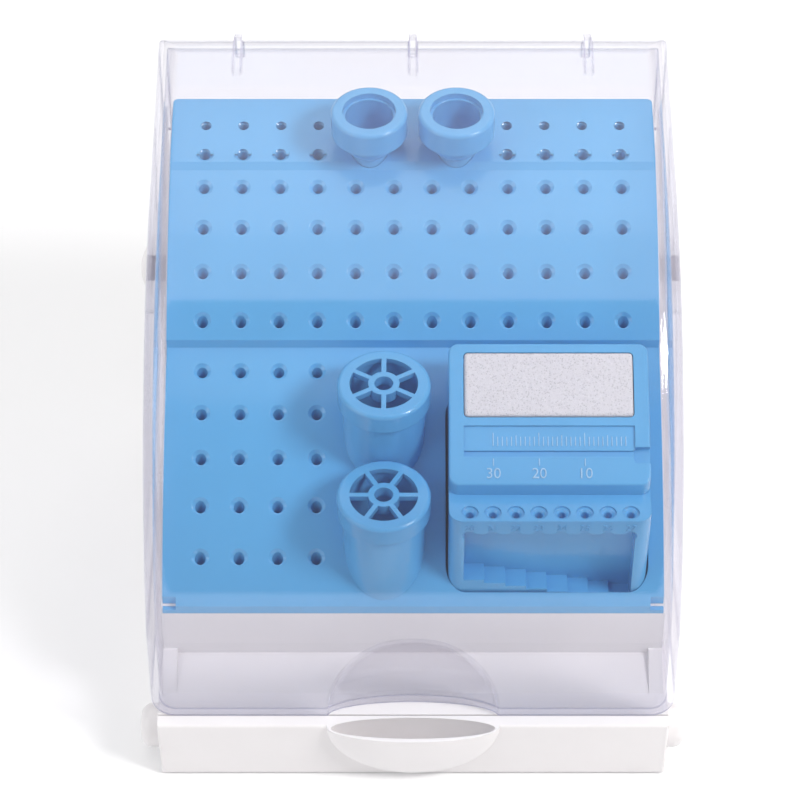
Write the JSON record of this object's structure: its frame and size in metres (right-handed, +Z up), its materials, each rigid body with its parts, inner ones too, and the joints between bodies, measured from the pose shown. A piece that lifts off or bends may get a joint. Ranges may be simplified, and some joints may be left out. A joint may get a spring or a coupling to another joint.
{
  "type": "dental bur block",
  "caption": "Stepped bur tray with cups and a measuring block on a drawer base, under a clear hinged cover.",
  "frame": {"origin": "on the table, under the middle of the base", "axes": "+Z up, +X to the right seen from the front, -Y towards the drawer front"},
  "size_m": [0.1282, 0.1272, 0.1185],
  "materials": {
    "white_plastic": "smooth moulded gloss",
    "blue_plastic": "smooth moulded semi-gloss",
    "clear_plastic": "clear moulded plastic",
    "sponge_foam": "fine open foam"
  },
  "bodies": {
    "base": {"base_shell": "white_plastic", "hinge_knob_left": "white_plastic", "hinge_knob_right": "white_plastic", "bur_tray": "blue_plastic", "block_body": "blue_plastic", "ruler_plate": "blue_plastic", "ring_cup_left": "blue_plastic", "ring_cup_right": "blue_plastic", "ring_cap_left": "blue_plastic", "ring_cap_right": "blue_plastic", "spoked_cup_upper": "blue_plastic", "spoked_cup_lower": "blue_plastic", "spoked_lid_upper": "blue_plastic", "spoked_lid_lower": "blue_plastic", "sponge": "sponge_foam"},
    "cover": {"cover": "clear_plastic"},
    "drawer": {"drawer": "white_plastic"}
  },
  "joints": [
    {"name": "cover_hinge", "type": "hinge", "parent": "base", "child": "cover", "pos_m": [0, 0.041, 0.0615], "axis": [-1, 0, 0], "range_deg": [0, 100]},
    {"name": "drawer_slide", "type": "slide", "parent": "base", "child": "drawer", "axis": [0, -1, 0], "range_m": [0, 0.085]}
  ]
}
